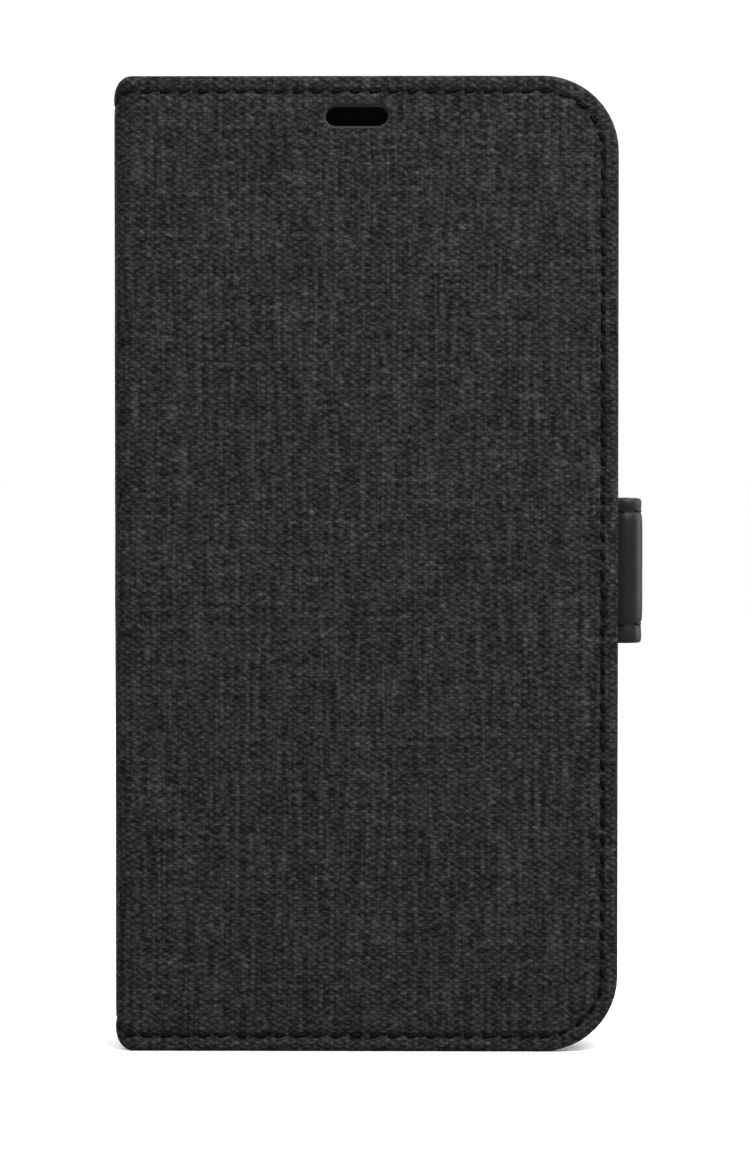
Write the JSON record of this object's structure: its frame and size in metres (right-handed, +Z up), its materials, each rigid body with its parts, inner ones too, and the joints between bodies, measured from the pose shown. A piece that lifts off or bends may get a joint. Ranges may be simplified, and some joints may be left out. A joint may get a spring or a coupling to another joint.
{
  "type": "phone wallet case",
  "caption": "Folio phone case in woven cloth: hinged cover with card pockets, moulded phone shell, and a magnetic leather strap that wraps the free edge.",
  "frame": {"origin": "middle of the bottom of the closed case, strap included, on the surface it stands on", "axes": "+X from the spine to the free edge, +Y from the front cover to the back cover, +Z up along the spine"},
  "size_m": [0.091, 0.0204, 0.168],
  "materials": {
    "cloth": "matt woven cloth, heathered charcoal",
    "board": "black pressed board",
    "lining": "soft brushed microfibre",
    "pocket": "fine-grained synthetic leather, satin",
    "thread": "twisted polyester sewing thread",
    "shell": "moulded flexible plastic, satin with a fine texture",
    "key": "moulded flexible plastic, satin",
    "strap_leather": "smooth synthetic leather, satin",
    "strap_lining": "smooth synthetic leather, satin",
    "magnet": "nickel plated",
    "steel": "plain rolled steel",
    "adhesive": "foam adhesive pad"
  },
  "bodies": {
    "back_cover": {"back_fabric": "cloth", "back_board": "board", "back_lining": "lining", "back_needle_thread": "thread", "back_bobbin_thread": "thread", "back_keeper_plate": "steel", "shell_glue_pad": "adhesive", "phone_shell": "shell"},
    "spine": {"spine_fabric": "cloth", "spine_board": "board", "spine_lining": "lining", "spine_bottom_thread": "thread", "spine_top_thread": "thread"},
    "front_cover": {"front_fabric": "cloth", "front_board": "board", "front_lining": "lining", "front_needle_thread": "thread", "front_bobbin_thread": "thread", "cash_pocket": "pocket", "card_pocket_1": "pocket", "card_pocket_2": "pocket", "card_pocket_3": "pocket", "strap_anchor": "strap_leather"},
    "strap_side": {"strap_side_leather": "strap_leather", "strap_side_lining": "strap_lining", "strap_side_thread_lower": "thread", "strap_side_thread_upper": "thread"},
    "strap_tip": {"strap_tip_leather": "strap_leather", "strap_tip_lining": "strap_lining", "strap_stiffener": "board", "strap_tip_thread": "thread", "strap_magnet_lower": "magnet", "strap_magnet_upper": "magnet"},
    "power_key": {"power_key": "key"},
    "volume_up_key": {"volume_up_key": "key"},
    "volume_down_key": {"volume_down_key": "key"}
  },
  "joints": [
    {"name": "spine_fold_back", "type": "hinge", "parent": "back_cover", "child": "spine", "pos_m": [-0.04463, 0.00683, 0.084], "axis": [0, 0, -1], "range_deg": [0, 170], "deforming": ["strap_side_leather", "strap_side_lining", "strap_side_thread_lower", "strap_side_thread_upper", "strap_tip_leather", "strap_tip_lining", "strap_stiffener", "strap_tip_thread", "strap_magnet_lower", "strap_magnet_upper"]},
    {"name": "spine_fold_front", "type": "hinge", "parent": "spine", "child": "front_cover", "pos_m": [-0.04463, -0.00923, 0.084], "axis": [0, 0, -1], "range_deg": [0, 170], "deforming": ["strap_side_leather", "strap_side_lining", "strap_side_thread_lower", "strap_side_thread_upper", "strap_tip_leather", "strap_tip_lining", "strap_stiffener", "strap_tip_thread", "strap_magnet_lower", "strap_magnet_upper"]},
    {"name": "strap_front_fold", "type": "hinge", "parent": "front_cover", "child": "strap_side", "pos_m": [0.04429, -0.00844, 0.083], "axis": [0, 0, -1], "range_deg": [0, 90], "deforming": ["strap_side_leather", "strap_side_lining", "strap_side_thread_lower", "strap_side_thread_upper", "strap_tip_leather", "strap_tip_lining", "strap_stiffener", "strap_tip_thread", "strap_magnet_lower", "strap_magnet_upper"]},
    {"name": "strap_back_fold", "type": "hinge", "parent": "strap_side", "child": "strap_tip", "pos_m": [0.04429, 0.00819, 0.083], "axis": [0, 0, -1], "range_deg": [0, 90]},
    {"name": "power_key_travel", "type": "slide", "parent": "back_cover", "child": "power_key", "axis": [-1, 0, 0], "range_m": [0, 0.0004], "stiffness_N_per_m": 800},
    {"name": "volume_up_key_travel", "type": "slide", "parent": "back_cover", "child": "volume_up_key", "axis": [1, 0, 0], "range_m": [0, 0.0004], "stiffness_N_per_m": 800},
    {"name": "volume_down_key_travel", "type": "slide", "parent": "back_cover", "child": "volume_down_key", "axis": [1, 0, 0], "range_m": [0, 0.0004], "stiffness_N_per_m": 800}
  ]
}
